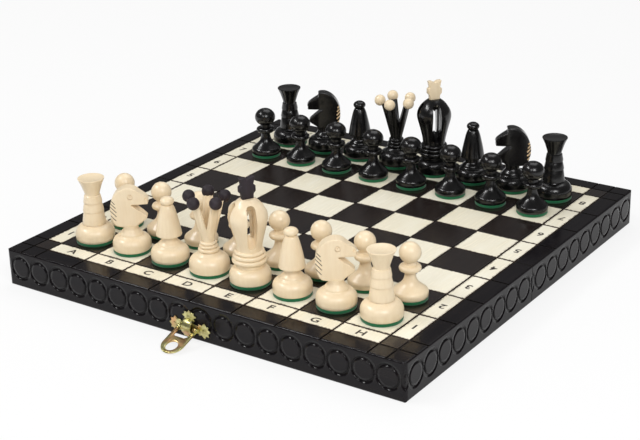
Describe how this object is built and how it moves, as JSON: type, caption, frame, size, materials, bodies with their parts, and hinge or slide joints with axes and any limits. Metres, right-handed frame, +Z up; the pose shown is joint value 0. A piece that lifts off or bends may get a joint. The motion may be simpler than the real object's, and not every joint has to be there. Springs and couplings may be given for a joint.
{
  "type": "folding chess box",
  "caption": "Hinged wooden box that opens flat into a chess board, with a swinging ring clasp and a full set of felted chessmen standing on it.",
  "frame": {"origin": "middle of the fold, in the plane of the two rims that the open board stands on", "axes": "+Z up out of the playing surface, +Y from white's side to black's side, +X from file a to file h"},
  "size_m": [0.29, 0.3176, 0.0921],
  "materials": {
    "black_lacquer": "gloss",
    "burnt_panel": "matte",
    "cream_veneer": "gloss",
    "black_veneer": "gloss",
    "hinge_brass": "satin",
    "pin_steel": "satin",
    "clasp_brass": "gloss",
    "white_men": "satin",
    "black_men": "gloss"
  },
  "bodies": {
    "front_half": {"front_rail": "black_lacquer", "front_left_rail": "black_lacquer", "front_right_rail": "black_lacquer", "front_spine_rail": "black_lacquer", "front_panel": "burnt_panel", "front_light_squares": "cream_veneer", "front_dark_squares": "black_veneer", "front_border_cells": "cream_veneer", "front_hinge_leaves": "hinge_brass", "front_hinge_screws": "hinge_brass", "hinge_pins": "pin_steel", "clasp_plate": "clasp_brass", "clasp_nails": "clasp_brass"},
    "back_half": {"back_rail": "black_lacquer", "back_left_rail": "black_lacquer", "back_right_rail": "black_lacquer", "back_spine_rail": "black_lacquer", "back_panel": "burnt_panel", "back_light_squares": "cream_veneer", "back_dark_squares": "black_veneer", "back_border_cells": "cream_veneer", "back_hinge_leaves": "hinge_brass", "back_hinge_screws": "hinge_brass", "keeper_plate": "clasp_brass", "keeper_nails": "clasp_brass"},
    "bail": {"clasp_bail": "clasp_brass"},
    "white_rook_a": {"white_rook_a": "white_men"},
    "white_knight_b": {"white_knight_b": "white_men"},
    "white_bishop_c": {"white_bishop_c": "white_men"},
    "white_queen_d": {"white_queen_d": "white_men"},
    "white_king_e": {"white_king_e": "white_men"},
    "white_bishop_f": {"white_bishop_f": "white_men"},
    "white_knight_g": {"white_knight_g": "white_men"},
    "white_rook_h": {"white_rook_h": "white_men"},
    "white_pawn_a": {"white_pawn_a": "white_men"},
    "white_pawn_b": {"white_pawn_b": "white_men"},
    "white_pawn_c": {"white_pawn_c": "white_men"},
    "white_pawn_d": {"white_pawn_d": "white_men"},
    "white_pawn_e": {"white_pawn_e": "white_men"},
    "white_pawn_f": {"white_pawn_f": "white_men"},
    "white_pawn_g": {"white_pawn_g": "white_men"},
    "white_pawn_h": {"white_pawn_h": "white_men"},
    "black_rook_a": {"black_rook_a": "black_men"},
    "black_knight_b": {"black_knight_b": "black_men"},
    "black_bishop_c": {"black_bishop_c": "black_men"},
    "black_queen_d": {"black_queen_d": "black_men"},
    "black_king_e": {"black_king_e": "black_men"},
    "black_bishop_f": {"black_bishop_f": "black_men"},
    "black_knight_g": {"black_knight_g": "black_men"},
    "black_rook_h": {"black_rook_h": "black_men"},
    "black_pawn_a": {"black_pawn_a": "black_men"},
    "black_pawn_b": {"black_pawn_b": "black_men"},
    "black_pawn_c": {"black_pawn_c": "black_men"},
    "black_pawn_d": {"black_pawn_d": "black_men"},
    "black_pawn_e": {"black_pawn_e": "black_men"},
    "black_pawn_f": {"black_pawn_f": "black_men"},
    "black_pawn_g": {"black_pawn_g": "black_men"},
    "black_pawn_h": {"black_pawn_h": "black_men"}
  },
  "joints": [
    {"name": "board_fold", "type": "hinge", "parent": "front_half", "child": "back_half", "pos_m": [0, 0, -0.00015], "axis": [-1, 0, 0], "range_deg": [0, 180]},
    {"name": "clasp_swing", "type": "hinge", "parent": "front_half", "child": "bail", "pos_m": [0, -0.1475, 0.0076], "axis": [-1, 0, 0], "range_deg": [-72, 100]},
    {"name": "lift_white_rook_a", "type": "slide", "parent": "front_half", "child": "white_rook_a", "axis": [0, 0, 1], "range_m": [0, 0.1]},
    {"name": "lift_white_knight_b", "type": "slide", "parent": "front_half", "child": "white_knight_b", "axis": [0, 0, 1], "range_m": [0, 0.1]},
    {"name": "lift_white_bishop_c", "type": "slide", "parent": "front_half", "child": "white_bishop_c", "axis": [0, 0, 1], "range_m": [0, 0.1]},
    {"name": "lift_white_queen_d", "type": "slide", "parent": "front_half", "child": "white_queen_d", "axis": [0, 0, 1], "range_m": [0, 0.1]},
    {"name": "lift_white_king_e", "type": "slide", "parent": "front_half", "child": "white_king_e", "axis": [0, 0, 1], "range_m": [0, 0.1]},
    {"name": "lift_white_bishop_f", "type": "slide", "parent": "front_half", "child": "white_bishop_f", "axis": [0, 0, 1], "range_m": [0, 0.1]},
    {"name": "lift_white_knight_g", "type": "slide", "parent": "front_half", "child": "white_knight_g", "axis": [0, 0, 1], "range_m": [0, 0.1]},
    {"name": "lift_white_rook_h", "type": "slide", "parent": "front_half", "child": "white_rook_h", "axis": [0, 0, 1], "range_m": [0, 0.1]},
    {"name": "lift_white_pawn_a", "type": "slide", "parent": "front_half", "child": "white_pawn_a", "axis": [0, 0, 1], "range_m": [0, 0.1]},
    {"name": "lift_white_pawn_b", "type": "slide", "parent": "front_half", "child": "white_pawn_b", "axis": [0, 0, 1], "range_m": [0, 0.1]},
    {"name": "lift_white_pawn_c", "type": "slide", "parent": "front_half", "child": "white_pawn_c", "axis": [0, 0, 1], "range_m": [0, 0.1]},
    {"name": "lift_white_pawn_d", "type": "slide", "parent": "front_half", "child": "white_pawn_d", "axis": [0, 0, 1], "range_m": [0, 0.1]},
    {"name": "lift_white_pawn_e", "type": "slide", "parent": "front_half", "child": "white_pawn_e", "axis": [0, 0, 1], "range_m": [0, 0.1]},
    {"name": "lift_white_pawn_f", "type": "slide", "parent": "front_half", "child": "white_pawn_f", "axis": [0, 0, 1], "range_m": [0, 0.1]},
    {"name": "lift_white_pawn_g", "type": "slide", "parent": "front_half", "child": "white_pawn_g", "axis": [0, 0, 1], "range_m": [0, 0.1]},
    {"name": "lift_white_pawn_h", "type": "slide", "parent": "front_half", "child": "white_pawn_h", "axis": [0, 0, 1], "range_m": [0, 0.1]},
    {"name": "lift_black_rook_a", "type": "slide", "parent": "back_half", "child": "black_rook_a", "axis": [0, 0, 1], "range_m": [0, 0.1]},
    {"name": "lift_black_knight_b", "type": "slide", "parent": "back_half", "child": "black_knight_b", "axis": [0, 0, 1], "range_m": [0, 0.1]},
    {"name": "lift_black_bishop_c", "type": "slide", "parent": "back_half", "child": "black_bishop_c", "axis": [0, 0, 1], "range_m": [0, 0.1]},
    {"name": "lift_black_queen_d", "type": "slide", "parent": "back_half", "child": "black_queen_d", "axis": [0, 0, 1], "range_m": [0, 0.1]},
    {"name": "lift_black_king_e", "type": "slide", "parent": "back_half", "child": "black_king_e", "axis": [0, 0, 1], "range_m": [0, 0.1]},
    {"name": "lift_black_bishop_f", "type": "slide", "parent": "back_half", "child": "black_bishop_f", "axis": [0, 0, 1], "range_m": [0, 0.1]},
    {"name": "lift_black_knight_g", "type": "slide", "parent": "back_half", "child": "black_knight_g", "axis": [0, 0, 1], "range_m": [0, 0.1]},
    {"name": "lift_black_rook_h", "type": "slide", "parent": "back_half", "child": "black_rook_h", "axis": [0, 0, 1], "range_m": [0, 0.1]},
    {"name": "lift_black_pawn_a", "type": "slide", "parent": "back_half", "child": "black_pawn_a", "axis": [0, 0, 1], "range_m": [0, 0.1]},
    {"name": "lift_black_pawn_b", "type": "slide", "parent": "back_half", "child": "black_pawn_b", "axis": [0, 0, 1], "range_m": [0, 0.1]},
    {"name": "lift_black_pawn_c", "type": "slide", "parent": "back_half", "child": "black_pawn_c", "axis": [0, 0, 1], "range_m": [0, 0.1]},
    {"name": "lift_black_pawn_d", "type": "slide", "parent": "back_half", "child": "black_pawn_d", "axis": [0, 0, 1], "range_m": [0, 0.1]},
    {"name": "lift_black_pawn_e", "type": "slide", "parent": "back_half", "child": "black_pawn_e", "axis": [0, 0, 1], "range_m": [0, 0.1]},
    {"name": "lift_black_pawn_f", "type": "slide", "parent": "back_half", "child": "black_pawn_f", "axis": [0, 0, 1], "range_m": [0, 0.1]},
    {"name": "lift_black_pawn_g", "type": "slide", "parent": "back_half", "child": "black_pawn_g", "axis": [0, 0, 1], "range_m": [0, 0.1]},
    {"name": "lift_black_pawn_h", "type": "slide", "parent": "back_half", "child": "black_pawn_h", "axis": [0, 0, 1], "range_m": [0, 0.1]}
  ]
}
